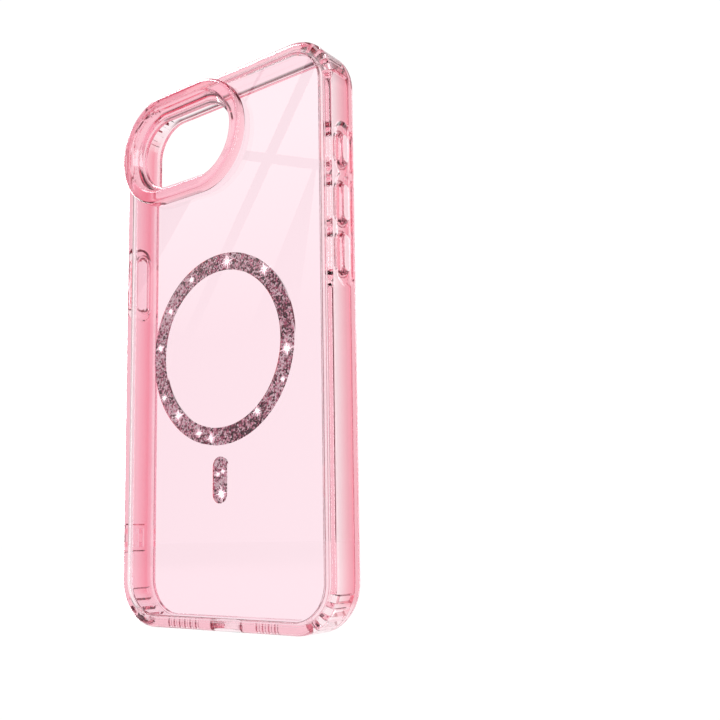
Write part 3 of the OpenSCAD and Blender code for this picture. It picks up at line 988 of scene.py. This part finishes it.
# %% The floor
floor_mesh = bpy.data.meshes.new("floor")
floor_mesh.from_pydata([(-4, -4, 0), (4, -4, 0), (4, 4, 0), (-4, 4, 0)], [], [(0, 1, 2, 3)])
floor = bpy.data.objects.new("floor", floor_mesh)
bpy.context.scene.collection.objects.link(floor)
FLOOR_DROP = 0.02
floor.location.z = -FLOOR_DROP * MM
paper, tree = new_material("white_paper_floor")
place = add(tree, "ShaderNodeTexCoord").outputs["Object"]
fibre = add(tree, "ShaderNodeTexNoise", {"Vector": place, "Scale": per_mm(3), "Detail": 2.0})
shade_of = ramp(tree, fibre.outputs["Fac"], [(0.3, srgb("#f4f4f4")), (0.7, srgb("#f6f6f6"))])
matt = add(tree, "ShaderNodeBsdfDiffuse", {"Color": shade_of})
lit = add(tree, "ShaderNodeEmission", {"Color": srgb("#ffffff"), "Strength": 1.04})
mixed = add(tree, "ShaderNodeMixShader", {"Fac": 0.95, 1: matt.outputs[0], 2: lit.outputs[0]})
add(tree, "ShaderNodeOutputMaterial", {"Surface": mixed.outputs[0]})
floor.data.materials.append(paper)
floor.visible_glossy = False

# %% The room's light
FRONT_CARD = (0.42, 0.16, 0.22, 1)
ROSE_CARD = (0.1, 0.012, 0.025, 1)
FRONT_END = 0.24
ROOM_TURN = math.radians(36.2)
BACKDROP = 1.05
world = bpy.data.worlds.new("studio")
bpy.context.scene.world = world
world.use_nodes = True
world.node_tree.nodes.clear()
tree = world.node_tree
direction = add(tree, "ShaderNodeTexCoord").outputs["Generated"]
height = add(tree, "ShaderNodeSeparateXYZ", {"Vector": direction}).outputs["Z"]
ceiling = add(tree, "ShaderNodeMapRange", {
    "Value": height, "From Min": 0.55, "From Max": 0.8, "To Min": 1.03, "To Max": 0.05},
    interpolation_type="SMOOTHSTEP")
flat = add(tree, "ShaderNodeVectorMath", {0: direction, 1: (1, 1, 0)}, operation="MULTIPLY")
level_way = add(tree, "ShaderNodeVectorMath", {0: flat.outputs[0]}, operation="NORMALIZE")
away = (-math.sin(ROOM_TURN), math.cos(ROOM_TURN), 0)
facing = add(tree, "ShaderNodeVectorMath", {0: level_way.outputs[0], 1: away}, operation="DOT_PRODUCT")
white = (1, 1, 1, 1)
side_cards = [(0.29, ROSE_CARD), (0.5, ROSE_CARD), (0.56, white)]
mirrored = ramp(tree, facing.outputs["Value"], [(0.0, FRONT_CARD), (FRONT_END, FRONT_CARD)] + side_cards)
through = ramp(tree, facing.outputs["Value"], [(0.0, white), (FRONT_END, white)] + side_cards)
path = add(tree, "ShaderNodeLightPath")
mirror_ray = add(tree, "ShaderNodeMath", {
    0: path.outputs["Is Glossy Ray"], 1: path.outputs["Is Reflection Ray"]}, operation="MULTIPLY")
cards = add(tree, "ShaderNodeMix", {"Factor": mirror_ray.outputs[0], 6: through, 7: mirrored},
            data_type="RGBA")
seen = path.outputs["Is Camera Ray"]
level = add(tree, "ShaderNodeMix", {"Factor": seen, "A": ceiling.outputs[0], "B": BACKDROP})
painted = add(tree, "ShaderNodeMix", {"Factor": seen, 6: cards.outputs[2], 7: white}, data_type="RGBA")
sky = add(tree, "ShaderNodeBackground", {"Color": painted.outputs[2], "Strength": level.outputs[0]})
add(tree, "ShaderNodeOutputWorld", {"Surface": sky.outputs[0]})
bpy.context.scene.cycles.max_bounces = 24
bpy.context.scene.cycles.transmission_bounces = 24
bpy.context.scene.cycles.glossy_bounces = 16
bpy.context.scene.view_settings.view_transform = "Standard"

# %% The camera
CAM_AT = Vector((171.24, -174.60, 23.76))
CAM_TURN, CAM_TILT, CAM_ROLL = (math.radians(a) for a in (36.23, -7.01, -0.94))
LENS_MM, LENS_SHIFT = 45.45, 0.09
right = Vector((math.cos(CAM_TURN), math.sin(CAM_TURN), 0))
back = Vector((math.sin(CAM_TURN) * math.cos(CAM_TILT), -math.cos(CAM_TURN) * math.cos(CAM_TILT),
               math.sin(CAM_TILT)))
up = back.cross(right)
roll_cos, roll_sin = math.cos(CAM_ROLL), math.sin(CAM_ROLL)
right, up = roll_cos * right + roll_sin * up, roll_cos * up - roll_sin * right
lens = bpy.data.cameras.new("camera")
lens.sensor_width = 36
lens.lens = LENS_MM
lens.shift_y = LENS_SHIFT
lens.clip_start = 0.01
camera = bpy.data.objects.new("camera", lens)
camera.matrix_world = Matrix.Translation(CAM_AT * MM) @ Matrix((right, up, back)).transposed().to_4x4()
bpy.context.scene.collection.objects.link(camera)
bpy.context.scene.camera = camera

# %% The window that the plate mirrors
PANE_Y = -800.0
mirror_eye = Vector((CAM_AT.x, 2 * (Y_BACK + PLATE_SINK) - CAM_AT.y, CAM_AT.z))


def seen_at(x, z):
    """Where on the window's plane a light must be for the plate to mirror it at (x, z)."""
    spot = Vector((x, Y_BACK + PLATE_SINK, z))
    ray = spot - mirror_eye
    return spot + ray * ((PANE_Y - spot.y) / ray.y)


CROSS_Z, CROSS_SLOPE, CROSS_HALF = 129.3, -0.37, 1.4
TOP_EDGE, FOOT_EDGE = 37.0, -54.0
UPRIGHTS = [(-1.0, 0.5, 0.93), (17.95, 1.85, 0.695), (33.85, 0.35, 0.58)]
LEFT_END, RIGHT_END = (-18.8, 0.43), (44.6, 0.1)
AJAR_LEAN = 0.18


def corner(x, lean, up):
    """Where an upright edge, at x on the cross bar, meets the level edge up mm above the bar."""
    rise = up / (1 - CROSS_SLOPE * lean)
    return x + lean * rise, CROSS_Z + CROSS_SLOPE * x + rise


def pane(left, right, low, high):
    """A pane's corners. left and right are its upright edges, as (x on the cross bar, lean)."""
    return [corner(*left, high), corner(*right, high), corner(*right, low), corner(*left, low)]


# Each upright bar is (x on the cross bar, half width, lean). The last pane stands ajar.
first, second, third = [((x - half, lean), (x + half, lean)) for x, half, lean in UPRIGHTS]
ajar = (third[1][0], AJAR_LEAN)
above, below = (CROSS_HALF, TOP_EDGE), (FOOT_EDGE, -CROSS_HALF)
PANES = [
    pane(LEFT_END, first[0], *above), pane(first[1], second[0], *above),
    pane(second[1], RIGHT_END, *above), pane(first[1], second[0], *below),
    pane(second[1], third[0], *below), pane(ajar, RIGHT_END, *below),
]
FRAME_CARD = [(-75, 175), (75, 175), (75, 60), (-75, 60)]
FADE_LOW, FADE_HIGH = seen_at(0, 76).z, seen_at(0, 128).z


def emitter(name, verts, faces, high):
    """A glowing sheet that only reflections see. It fades from high at its top into the front card."""
    mesh = bpy.data.meshes.new(name)
    mesh.from_pydata([v * MM for v in verts], [], faces)
    obj = bpy.data.objects.new(name, mesh)
    bpy.context.scene.collection.objects.link(obj)
    material, tree = new_material(name + "_glow")
    place = add(tree, "ShaderNodeTexCoord").outputs["Object"]
    rise = add(tree, "ShaderNodeSeparateXYZ", {"Vector": place}).outputs["Z"]
    fade = add(tree, "ShaderNodeMapRange", {
        "Value": rise, "From Min": FADE_LOW * MM, "From Max": FADE_HIGH * MM})
    colour = ramp(tree, fade.outputs[0], [(0.0, FRONT_CARD), (1.0, high)])
    glow = add(tree, "ShaderNodeEmission", {"Color": colour, "Strength": 1.0})
    add(tree, "ShaderNodeOutputMaterial", {"Surface": glow.outputs[0]})
    mesh.materials.append(material)
    obj.visible_camera = obj.visible_transmission = False
    return obj


behind = Vector((0, -20, 0))
pane_verts = [seen_at(x, z) for pane in PANES for x, z in pane]
emitter("window", pane_verts, [tuple(range(4 * i, 4 * i + 4)) for i in range(len(PANES))],
        (1.5, 1.45, 1.35, 1))
emitter("window_frame", [seen_at(x, z) + behind for x, z in FRAME_CARD], [(0, 1, 2, 3)],
        (0, 0, 0, 1))
print("window panes", len(PANES), "seen by mirror rays from", [round(v) for v in mirror_eye])

# %% Strip lights for the bright lines along the edges
CENTRE = Vector((0, 0, 76))


def strip(name, azimuth, rise, distance, size, radiance):
    """A soft area light at an angle round the case, in degrees from the back face's normal."""
    a, e = math.radians(azimuth), math.radians(rise)
    way = Vector((math.sin(a) * math.cos(e), -math.cos(a) * math.cos(e), math.sin(e)))
    data = bpy.data.lights.new(name, "AREA")
    data.shape = "RECTANGLE"
    data.size, data.size_y = (v * MM for v in size)
    data.energy = radiance * math.pi * data.size * data.size_y
    lamp = bpy.data.objects.new(name, data)
    lamp.location = (CENTRE + way * distance) * MM
    lamp.rotation_euler = way.to_track_quat("Z", "Y").to_euler()
    lamp.visible_camera = lamp.visible_transmission = False
    bpy.context.scene.collection.objects.link(lamp)
    return lamp


strip("strip_right", 74, 5, 600, (110, 900), 5)
strip("strip_far_right", 122, 5, 600, (120, 1100), 2)
strip("strip_front", 24, 5, 700, (60, 700), 5)
strip("strip_back_right", 160, 5, 700, (260, 700), 2.5)
strip("strip_left", -100, 5, 600, (200, 700), 8)
strip("overhead", -70, 55, 500, (300, 160), 10)
